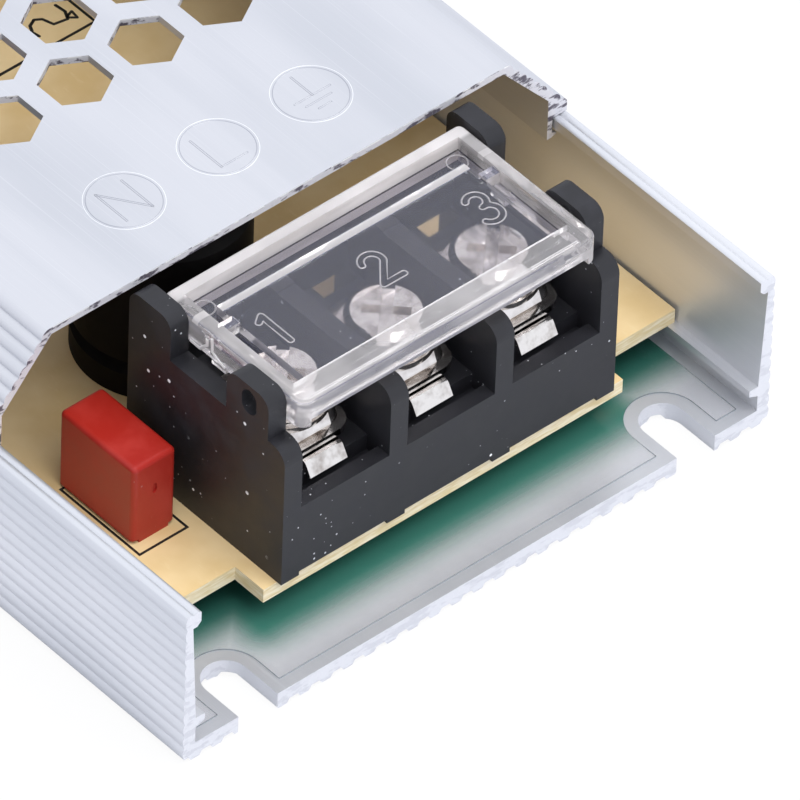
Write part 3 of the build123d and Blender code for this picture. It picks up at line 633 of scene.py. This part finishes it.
@dataclass(frozen=True)
class Solder(Finish):
    """Wave-soldered tin: bright where it froze smooth, and dull in its faint wrinkles."""

    name: str = "solder"
    body: str = "B9BBC0"
    dull: str = "8D8F96"
    wrinkle_mm: float = 0.4

    def mix(self, recipe: Recipe) -> bpy.types.Material:
        """Wrinkles a frozen drop.

        Args:
            recipe: The empty material.

        Returns:
            The finished material.
        """
        wrinkles = recipe.grain(self.wrinkle_mm, (1, 1, 1), 3, 0.6)
        colour = recipe.blend(recipe.band(wrinkles, 0.4, 0.8), srgb(self.body), srgb(self.dull))
        recipe.surface(
            Base_Color=colour, Metallic=1.0, Roughness=0.28, Normal=recipe.relief(wrinkles, 0.03, 0.3))
        return recipe.material


@dataclass(frozen=True)
class Ink(Finish):
    """Screen-printed ink: flat black, a little thin and uneven."""

    name: str = "black_ink"
    body: str = "1E1C1A"
    worn: str = "4A4238"
    wear_mm: float = 0.25

    def mix(self, recipe: Recipe) -> bpy.types.Material:
        """Lets a trace of the board through where the ink is thin.

        Args:
            recipe: The empty material.

        Returns:
            The finished material.
        """
        wear = recipe.grain(self.wear_mm, (1, 1, 1), 3, 0.6)
        colour = recipe.blend(recipe.band(wear, 0.5, 0.8), srgb(self.body), srgb(self.worn))
        recipe.surface(Base_Color=colour, Roughness=0.6)
        return recipe.material


@dataclass(frozen=True)
class Paper(Finish):
    """Matte backdrop paper, the studio's floor: plain white that keeps a soft shadow."""

    name: str = "white_floor"
    body: str = "BFC0C4"
    page_strength: float = 1.03
    page_share: float = 0.9

    def mix(self, recipe: Recipe) -> bpy.types.Material:
        """Shows the camera and the clear pieces a floor nearly as bright as the page.

        Args:
            recipe: The empty material.

        Returns:
            The finished material.
        """
        recipe.surface(Base_Color=srgb(self.body), Roughness=0.9)
        path = recipe.add("ShaderNodeLightPath")
        seen = recipe.work("MAXIMUM", path.outputs["Is Camera Ray"], path.outputs["Is Transmission Ray"])
        page = recipe.add("ShaderNodeEmission", {"Color": (1, 1, 1, 1), "Strength": self.page_strength})
        recipe.overlay(recipe.work("MULTIPLY", seen, self.page_share), page)
        return recipe.material


ALUMINIUM = ExtrudedAluminium()
# darker copy of the case's aluminium for the cover: painted shade that holds back the stronger light on the
# cover's top
COVER_ALUMINIUM_SHADED = ExtrudedAluminium(
    name="cover_aluminium_satin_shaded", skin="D4D5DA", shade="C9CBD1", sawn="DDDCE2", torn="5F5A66")
# lighter and darker copies of the aluminium for the embossed signs: painted highlight on the outer rings,
# painted shade on the inner rings and the letters
EMBOSS_HIGHLIGHT = ExtrudedAluminium(name="embossed_painted_highlight", skin="FAFBFD", shade="F2F3F6", line="FFFFFF")
EMBOSS_LETTER_SHADE = ExtrudedAluminium(name="embossed_letter_shade", skin="A4A6B0", shade="989AA5", line="B2B4BD")
EMBOSS_SHADE = ExtrudedAluminium(name="embossed_shaded_edge", skin="B9BBC4", shade="ACAEB8", line="C6C8D0")
BOARD = Laminate()
BLACK_NYLON = MouldedPlastic(name="black_moulded_nylon")
RED_NYLON = MouldedPlastic(
    name="red_moulded_nylon", body="9C2017", haze="A82E26", grain_mm=0.15, rough=0.42, dusty=0.6)
EPOXY = MouldedPlastic(name="black_epoxy", body="1F1F22", haze="2C2C30", rough=0.45, dusty=0.55)
# black sleeve, made darker than the other black parts as painted shade where the can stands in shadow
# behind the terminals
SHADED_SLEEVE = MouldedPlastic(
    name="black_shrink_sleeve_shaded", body="0E0D0D", haze="151414", rough=0.6, dusty=1.0, ior=1.2)
GREEN_DIP = MouldedPlastic(name="green_dipped_coating", body="1F4A2C", haze="2A5E3A", rough=0.35, dusty=0.6)
BLUE_DIP = MouldedPlastic(name="blue_dipped_coating", body="1D4C8C", haze="2A5FA6", rough=0.3, dusty=0.6)
YELLOW_TAPE = MouldedPlastic(name="yellow_tape", body="D7A93B", haze="E2BB55", rough=0.3, dusty=0.7)
LID = ClearPlastic()
# painted highlights where the light catches on the edges of the lid's catches
CATCH_HIGHLIGHT = ClearPlastic(name="clear_polycarbonate_catch", panel="FFFFFF", panel_haze_and_highlight=0.95)
# raised numbers and marks, whitened by a painted highlight for the light that they gather
RAISED_CLEAR = ClearPlastic(name="clear_polycarbonate_raised", panel="F1EEF1", panel_haze_and_highlight=0.35)
FILM = ClearFilm()
NICKEL = NickelPlate()
FERRITE = Ferrite()
LINE_CHOKE_COPPER = CopperWire(name="line_choke_copper", middle_mm=(-16.55, -18.99))
OUTPUT_CHOKE_COPPER = CopperWire(name="output_choke_copper", middle_mm=(-13.05, 43.95))
SOLDER = Solder()
INK = Ink()

FINISH_OF_SLOT: dict[str, Finish] = {
    "extruded_aluminium": ALUMINIUM,
    "clear_film": FILM,
    "board": BOARD,
    "fuse_red": RED_NYLON,
    "component_black": EPOXY,
    "disc_green": GREEN_DIP,
    "disc_blue": BLUE_DIP,
    "sleeve_black": SHADED_SLEEVE,
    "ferrite": FERRITE,
    "tape_yellow": YELLOW_TAPE,
    "solder": SOLDER,
    "terminal_black": BLACK_NYLON,
    "lid_clear": LID,
    "plated_steel": NICKEL,
}

FINISH_OF_NODE: dict[str, Finish] = {
    "top_cover": COVER_ALUMINIUM_SHADED,
    "line_choke_windings": LINE_CHOKE_COPPER,
    "output_choke_windings": OUTPUT_CHOKE_COPPER,
}


def let_go() -> None:
    """Deselects every object, so that the next operator acts only on what it is meant for."""
    if bpy.context.object is not None and bpy.context.object.mode != "OBJECT":
        bpy.ops.object.mode_set(mode="OBJECT")
    bpy.ops.object.select_all(action="DESELECT")


def take_up(piece: bpy.types.Object) -> None:
    """Makes a piece the only selected and the active object.

    Args:
        piece: The piece.
    """
    let_go()
    piece.select_set(True)
    bpy.context.view_layer.objects.active = piece


def settle(piece: bpy.types.Object, body: str, finish: Finish) -> None:
    """Puts a finished piece's place into its mesh, dresses it and lets it ride on a body.

    Args:
        piece: The finished mesh object.
        body: CAD body that it moves with.
        finish: What it is made of.
    """
    take_up(piece)
    bpy.ops.object.transform_apply(location=True, rotation=True, scale=True)
    piece.data.materials.clear()
    piece.data.materials.append(finish.material())
    let_go()
    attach(piece, body)
    log.info("%s rides on %s", piece.name, body)


def draw_in(node: str, depth_mm: float) -> None:
    """Draws a CAD node's skin in by a live modifier, so that it clears a face that it lies on.

    Args:
        node: Name of the CAD node.
        depth_mm: Distance that each face moves inwards.
    """
    push = frame["nodes"][node].modifiers.new("drawn_in", "DISPLACE")
    push.mid_level = 0.0
    push.strength = -depth_mm * MM


class Stroke(Enum):
    """Centre lines of the signs for neutral, line and earth, in shares of their height, their top at +Y."""

    N = (((-0.35, -0.5), (-0.35, 0.5)), ((-0.35, 0.5), (0.35, -0.5)), ((0.35, -0.5), (0.35, 0.5)))
    L = (((-0.33, 0.5), (-0.33, -0.5)), ((-0.33, -0.5), (0.36, -0.5)))
    EARTH = (
        ((0, 0.64), (0, -0.04)), ((-0.48, -0.04), (0.48, -0.04)), ((-0.34, -0.24), (0.34, -0.24)),
        ((-0.16, -0.44), (0.16, -0.44)))


@dataclass
class Case:
    """The case's cover: the embossed signs for the mains wires, each in a double ring, with a painted
    highlight on the outer ring and painted shade on the inner ring and the strokes.
    """

    sign_setback: float = 27.8
    sign_pitch: float = 8.39
    signs: tuple[Stroke, ...] = (Stroke.N, Stroke.L, Stroke.EARTH)
    ring_radius: float = 2.85
    ring_step: float = 0.2
    ring_bead: float = 0.035
    bead_sides: int = 6
    ring_turns: int = 72
    letter_height: float = 3.3
    letter_reach: float = 0.07
    letter_bead: float = 0.021

    def build(self) -> None:
        """Makes the rings and the strokes of the signs."""
        for place, sign in enumerate(self.signs):
            middle = Vector(((place - 1) * self.sign_pitch, self.sign_setback - HALF_LENGTH))
            # the outer ring carries a painted highlight and the inner ring painted shade
            for number, finish in enumerate((EMBOSS_HIGHLIGHT, EMBOSS_SHADE), start=1):
                radius = self.ring_radius - (number - 1) * self.ring_step
                ring = self.ring(f"{sign.name}_ring_{number}", middle, radius)
                settle(ring, "housing", finish)
            for number, line in enumerate(sign.value, start=1):
                corners = [middle + Vector(corner) * self.letter_height for corner in line]
                around = outline(corners, self.letter_reach)
                # the strokes are darker than the cover: painted shade along the embossed letters
                stroke = bead_line(f"{sign.name}_stroke_{number}", around, COVER_TOP, self.letter_bead)
                settle(stroke, "housing", EMBOSS_LETTER_SHADE)

    def ring(self, name: str, middle: Vector, radius: float) -> bpy.types.Object:
        """Spins a small flattened bead into a ring on the cover.

        Args:
            name: Name of the piece.
            middle: Middle of the ring on the cover, in mm.
            radius: Radius of the bead's middle, in mm.

        Returns:
            The ring as a mesh.
        """
        centre = Vector((middle.x, middle.y, COVER_TOP)) * MM
        start = centre + Vector((radius, 0, 0)) * MM
        let_go()
        bpy.ops.mesh.primitive_circle_add(
            vertices=self.bead_sides, radius=self.ring_bead * MM, location=start,
            rotation=(math.pi / 2, 0, 0))
        piece = bpy.context.object
        piece.name = name
        bpy.ops.object.transform_apply(location=True, rotation=True, scale=True)
        bpy.ops.object.mode_set(mode="EDIT")
        bpy.ops.mesh.select_all(action="SELECT")
        bpy.ops.mesh.spin(steps=self.ring_turns, angle=2 * math.pi, center=centre, axis=(0, 0, 1))
        bpy.ops.mesh.select_all(action="SELECT")
        bpy.ops.mesh.remove_doubles(threshold=1e-6)
        bpy.ops.mesh.normals_make_consistent(inside=False)
        bpy.ops.transform.resize(value=(1, 1, BEAD_SQUASH), center_override=(0, 0, COVER_TOP * MM))
        bpy.ops.object.mode_set(mode="OBJECT")
        bpy.ops.object.shade_smooth()
        return piece


def arc(middle: tuple[float, float], radius: float, start: float, end: float) -> list[Vector]:
    """Points along an arc, about ARC_STEP apart.

    Args:
        middle: Middle of the arc.
        radius: Its radius.
        start: Angle of its first point, in degrees.
        end: Angle of its last point, in degrees.

    Returns:
        The points.
    """
    steps = max(2, round(abs(end - start) / ARC_STEP))
    angles = [math.radians(start + (end - start) * step / steps) for step in range(steps + 1)]
    return [Vector((middle[0] + radius * math.cos(a), middle[1] + radius * math.sin(a))) for a in angles]


def clear_of(line: list[Vector], point: Vector) -> float:
    """Distance from a point to the nearest place on an open line.

    Args:
        line: Points of the line.
        point: The point.

    Returns:
        The distance.
    """
    best = math.inf
    for start, end in zip(line, line[1:]):
        run = end - start
        share = min(max((point - start).dot(run) / run.length_squared, 0.0), 1.0)
        best = min(best, (point - start - run * share).length)
    return best


def corner_joint(point: Vector, first: Vector, last: Vector, reach: float) -> list[Vector]:
    """Left side of a corner of a thick line: one mitred point inside the bend, round points outside it.

    Args:
        point: The corner.
        first: Direction in which the line comes.
        last: Direction in which it goes on.
        reach: Half the line's thickness.

    Returns:
        The points of the joint.
    """
    sharpest = 0.3  # keeps the mitre of a sharp bend from running far out
    starts, ends = Vector((-first.y, first.x)), Vector((-last.y, last.x))
    across = (starts + ends).normalized()
    if first.cross(last) > 0:
        return [point + across * (reach / max(across.dot(ends), sharpest))]
    halves = ((starts + across).normalized(), (across + ends).normalized())
    return [point + way_out * reach for way_out in (starts, halves[0], across, halves[1], ends)]


def outline(line: list[Vector], reach: float) -> list[Vector]:
    """Closed outline with round ends at a distance around an open line.

    Args:
        line: Points of the centre line.
        reach: Distance from the centre line.

    Returns:
        The points of the outline.
    """
    half_end = 72  # degrees; the rest of each round end comes from the sides
    too_near, too_close = 0.97 * reach, 0.1 * reach
    around = []
    for way in (line, line[::-1]):
        runs = [(end - start).normalized() for start, end in zip(way, way[1:])]
        for point, first, last in zip(way, runs[:1] + runs, runs + runs[-1:]):
            around += corner_joint(point, first, last, reach)
        turn = math.degrees(math.atan2(runs[-1].y, runs[-1].x))
        around += arc(tuple(way[-1]), reach, turn + half_end, turn - half_end)
    around = [point for point in around if clear_of(line, point) > too_near]
    return [point for number, point in enumerate(around) if (point - around[number - 1]).length > too_close]


def bead_through(name: str, corners: list[Vector], bead: float, rounding: int,
                 closed: bool) -> bpy.types.Object:
    """Runs a round bead through some points.

    Args:
        name: Name of the piece.
        corners: Points of the line, in mm.
        bead: Radius of the bead, in mm.
        rounding: How finely the bead is rounded.
        closed: Whether the line closes, or ends in caps.

    Returns:
        The bead as a mesh, at the origin.
    """
    curve = bpy.data.curves.new(name, "CURVE")
    curve.dimensions = "3D"
    curve.bevel_depth = bead * MM
    curve.bevel_resolution = rounding
    curve.use_fill_caps = not closed
    line = curve.splines.new("POLY")
    line.points.add(len(corners) - 1)
    for point, corner in zip(line.points, corners):
        point.co = (*(corner.to_3d() * MM), 1)
    line.use_cyclic_u = closed
    piece = bpy.data.objects.new(name, curve)
    bpy.context.scene.collection.objects.link(piece)
    take_up(piece)
    bpy.ops.object.convert(target="MESH")
    return bpy.context.object


def edge_line(name: str, corners: list[Vector], bead: float) -> bpy.types.Object:
    """Makes an open line of round bead through some points in space.

    Args:
        name: Name of the piece.
        corners: Points of the line, in mm.
        bead: Radius of the bead, in mm.

    Returns:
        The line as a mesh, at the origin.
    """
    piece = bead_through(name, corners, bead, 2, False)
    bpy.ops.object.shade_smooth_by_angle(angle=math.radians(50))
    return piece


def bead_line(name: str, corners: list[Vector], height: float, bead: float) -> bpy.types.Object:
    """Makes a closed line of flattened bead on a level face.

    Args:
        name: Name of the piece.
        corners: Points of the line, in mm.
        height: Height of the face, in mm.
        bead: Radius of the bead, in mm.

    Returns:
        The line as a mesh.
    """
    piece = bead_through(name, corners, bead, 1, True)
    piece.scale = (1, 1, BEAD_SQUASH)
    piece.location = (0, 0, height * MM)
    bpy.ops.object.shade_smooth()
    return piece


@dataclass
class Lids:
    """The clear lids over the terminals: raised numbers, round marks and painted highlights along the edges
    of the catches.
    """

    panel_top: float = 20.05
    number_setback: float = 12.7
    numbers: dict[str, tuple[float, ...]] = field(
        default_factory=lambda: {"ac": (-7.9, 1.45, 10.8), "dc": (-4.75, 4.75)})
    number_reach: float = 0.24
    bead: float = 0.06
    groove_floor: float = 19.3
    mark_setback: float = 17.8
    mark_radius: float = 0.75
    marks: dict[str, tuple[float, ...]] = field(
        default_factory=lambda: {"ac": (-9.75, 12.95), "dc": (-6.6, 6.6)})
    catches: dict[str, tuple[float, float]] = field(
        default_factory=lambda: {"ac": (-11.7, 14.9), "dc": (-8.55, 8.55)})
    catch_highlight_bead: float = 0.15
    catch_highlight_lines: tuple[tuple[tuple[float, float], ...], ...] = (  # setback and height of each point
        ((16.9, 18.2), (15.9, 18.17), (15.2, 18.95), (15.2, 19.5)),
        ((14.7, 19.9), (14.65, 18.75), (14.1, 18.45), (13.3, 18.17)),
    )

    def build(self) -> None:
        """Makes what stands on the lid of each end."""
        for end, side in (("ac", -1), ("dc", 1)):
            self.print_numbers(end, side)
            self.press_marks(end, side)
            self.paint_catch_highlights(end, side)

    def print_numbers(self, end: str, side: int) -> None:
        """Raises a number over each terminal, to be read from that end.

        Args:
            end: Start of the lid's name.
            side: -1 at the mains end and 1 at the other.
        """
        for number, x in enumerate(self.numbers[end], start=1):
            middle = Vector((x, side * (HALF_LENGTH - self.number_setback)))
            corners = [middle - side * corner for corner in outline(self.digit(number), self.number_reach)]
            piece = bead_line(f"{end}_lid_number_{number}", corners, self.panel_top, self.bead)
            settle(piece, f"{end}_lid", RAISED_CLEAR)

    def press_marks(self, end: str, side: int) -> None:
        """Sets the moulder's round marks into the groove.

        Args:
            end: Start of the lid's name.
            side: -1 at the mains end and 1 at the other.
        """
        for number, x in enumerate(self.marks[end], start=1):
            middle = (x, side * (HALF_LENGTH - self.mark_setback))
            corners = arc(middle, self.mark_radius, 0, 360 - ARC_STEP)
            piece = bead_line(f"{end}_lid_mark_{number}", corners, self.groove_floor, self.bead)
            settle(piece, f"{end}_lid", RAISED_CLEAR)

    def paint_catch_highlights(self, end: str, side: int) -> None:
        """Draws painted highlights along the edges of the catch on either side of the lid.

        Args:
            end: Start of the lid's name.
            side: -1 at the mains end and 1 at the other.
        """
        places = [(x, line) for x in self.catches[end] for line in self.catch_highlight_lines]
        for number, (x, line) in enumerate(places, start=1):
            corners = [Vector((x, side * (HALF_LENGTH - setback), z)) for setback, z in line]
            piece = edge_line(f"{end}_lid_catch_edge_{number}", corners, self.catch_highlight_bead)
            settle(piece, f"{end}_lid", CATCH_HIGHLIGHT)

    def digit(self, number: int) -> list[Vector]:
        """Centre line of a digit round the origin, in mm.

        Args:
            number: 1, 2 or 3.

        Returns:
            The points of the line.
        """
        if number == 1:
            return [Vector((-0.5, 1.08)), Vector((0.06, 1.5)), Vector((0.06, -1.55))]
        if number == 2:
            bowl = arc((0.0, 0.75), 0.8, 170, -25)
            return bowl + [Vector((-0.85, -1.45)), Vector((0.95, -1.45))]
        upper, lower = arc((0.0, 0.78), 0.72, 150, -62), arc((0.0, -0.72), 0.85, 62, -150)
        return upper + [Vector((0.0, 0.06))] + lower


@dataclass
class BoardPrint:
    """Black print on the circuit board: a frame round the fuse, and plain outlines of parts."""

    board_top: float = 4.95
    left: float = -19.0
    right: float = -14.55
    front: float = -66.65
    back: float = -58.2
    line: float = 0.2
    ink: float = 0.012
    pen: float = 0.03
    lines: tuple[tuple[tuple[float, float], ...], ...] = (  # X and distance from the mains end
        ((9.4, 57.3), (9.3, 57.9), (9.6, 58.5), (10.2, 58.8), (10.7, 58.5), (11.0, 57.6), (12.1, 57.4),
         (12.45, 58.1), (12.35, 59.0)),
        ((4.6, 56.0), (13.4, 56.0), (13.4, 62.5), (4.6, 62.5), (4.6, 56.3)),
        ((12.2, 57.5), (12.7, 57.1), (12.8, 57.8), (12.2, 57.6)),
        ((-19.6, 52.6), (-9.4, 52.6), (-9.4, 61.5), (-19.6, 61.5)),
    )

    def build(self) -> None:
        """Prints the frame and the outlines."""
        self.fuse_frame()
        for number, line in enumerate(self.lines, start=1):
            corners = outline([Vector((x, y - HALF_LENGTH)) for x, y in line], self.pen)
            stroke = bead_line(f"board_print_{number}", corners, self.board_top, self.line / 2)
            settle(stroke, "housing", INK)

    def fuse_frame(self) -> None:
        """Cuts the frame round the fuse from one thin inset sheet."""
        let_go()
        bpy.ops.mesh.primitive_plane_add(size=1, location=(
            (self.left + self.right) / 2 * MM, (self.front + self.back) / 2 * MM, self.board_top * MM))
        piece = bpy.context.object
        piece.name = "fuse_frame_print"
        piece.scale = ((self.right - self.left) * MM, (self.back - self.front) * MM, 1)
        bpy.ops.object.transform_apply(location=True, rotation=True, scale=True)
        bpy.ops.object.mode_set(mode="EDIT")
        bpy.ops.mesh.select_all(action="SELECT")
        bpy.ops.mesh.inset(thickness=self.line * MM)
        bpy.ops.mesh.delete(type="FACE")
        bpy.ops.mesh.select_all(action="SELECT")
        bpy.ops.mesh.extrude_region_move(TRANSFORM_OT_translate={"value": (0, 0, self.ink * MM)})
        bpy.ops.mesh.select_all(action="SELECT")
        bpy.ops.mesh.normals_make_consistent(inside=False)
        bpy.ops.object.mode_set(mode="OBJECT")
        settle(piece, "housing", INK)


@dataclass
class Studio:
    """Camera, lamp, floor and surroundings, with places and sizes in metres."""

    lens: float = 888.52
    place: tuple[float, float, float] = (-0.65583, -0.78480, 0.93657)
    right: tuple[float, float, float] = (0.7534, -0.6571, 0.0274)
    up: tuple[float, float, float] = (0.4391, 0.5336, 0.7229)
    back: tuple[float, float, float] = (-0.4896, -0.5325, 0.6905)
    sensor: float = 36
    reach: tuple[float, float] = (0.05, 20)
    floor_size: float = 6
    floor_drop: float = 0.00002
    softbox_place: tuple[float, float, float] = (0.1, -0.45, 0.95)
    softbox_aim: tuple[float, float, float] = (0, -0.05, 0)
    softbox_size: float = 0.9
    softbox_power: float = 11.8
    room: str = "EEF1F8"
    room_light: float = 1.12
    room_gloss: float = 1.16

    def build(self) -> None:
        """Sets up everything round the object."""
        self.camera()
        self.floor()
        self.softbox()
        self.surroundings()
        bpy.context.scene.view_settings.view_transform = "Standard"

    def camera(self) -> None:
        """Places the camera where the photograph was taken from."""
        data = bpy.data.cameras.new("camera")
        data.lens = self.lens
        data.sensor_width = self.sensor
        data.clip_start, data.clip_end = self.reach
        camera = bpy.data.objects.new("camera", data)
        right, up, back = Vector(self.right), Vector(self.up), Vector(self.back)
        turn = Matrix((right, up, back)).transposed()
        camera.matrix_world = Matrix.Translation(Vector(self.place)) @ turn.to_4x4()
        bpy.context.scene.collection.objects.link(camera)
        bpy.context.scene.camera = camera

    def floor(self) -> None:
        """Lays a plain floor under the object."""
        let_go()
        bpy.ops.mesh.primitive_plane_add(size=self.floor_size, location=(0, 0, -self.floor_drop))
        floor = bpy.context.object
        floor.name = "floor"
        floor.data.materials.append(Paper().material())

    def softbox(self) -> None:
        """Hangs a square softbox over the mains end."""
        data = bpy.data.lights.new("top_softbox", "AREA")
        data.size = self.softbox_size
        data.energy = self.softbox_power
        lamp = bpy.data.objects.new("top_softbox", data)
        lamp.visible_glossy = False  # a plain metal face would mirror it as a white patch
        lamp.location = self.softbox_place
        lamp.rotation_mode = "QUATERNION"
        lamp.rotation_quaternion = (Vector(self.softbox_aim) - lamp.location).to_track_quat("-Z", "Y")
        bpy.context.scene.collection.objects.link(lamp)

    def surroundings(self) -> None:
        """White page for the camera, and a plain pale room for everything else."""
        world = bpy.data.worlds.new("room")
        bpy.context.scene.world = world
        world.use_nodes = True
        tree = world.node_tree
        tree.nodes.clear()
        path = add_node(tree, "ShaderNodeLightPath")
        seen = add_node(tree, "ShaderNodeMath", {
            0: path.outputs["Is Camera Ray"], 1: path.outputs["Is Transmission Ray"]}, operation="MAXIMUM")
        bright = add_node(tree, "ShaderNodeMapRange", {
            "Value": path.outputs["Is Glossy Ray"], "To Min": self.room_light, "To Max": self.room_gloss})
        room = add_node(
            tree, "ShaderNodeBackground", {"Color": srgb(self.room), "Strength": bright.outputs[0]})
        page = add_node(tree, "ShaderNodeBackground", {"Color": (1, 1, 1, 1), "Strength": 1.0})
        mixed = add_node(
            tree, "ShaderNodeMixShader", {0: seen.outputs[0], 1: room.outputs[0], 2: page.outputs[0]})
        add_node(tree, "ShaderNodeOutputWorld", {0: mixed.outputs[0]})


def dress_nodes() -> None:
    """Gives each CAD node its own finish or that of its slot in the record, and draws the film in."""
    for row in frame["record"]["subparts"]:
        piece = frame["nodes"][row["node"]]
        piece.data.materials.clear()
        finish = FINISH_OF_NODE.get(row["node"]) or FINISH_OF_SLOT[row["material_slot"]]
        piece.data.materials.append(finish.material())
        log.info("%s is %s", row["node"], row["material_slot"])
    draw_in("insulating_film", FILM_DRAW_IN)


def main() -> None:
    """Builds the looks and reports each piece."""
    logging.basicConfig(level=logging.INFO, format="%(message)s")
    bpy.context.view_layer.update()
    dress_nodes()
    for builder in (Case(), Lids(), BoardPrint(), Studio()):
        log.info("building %s", type(builder).__name__)
        builder.build()


if __name__ == "__main__":
    main()
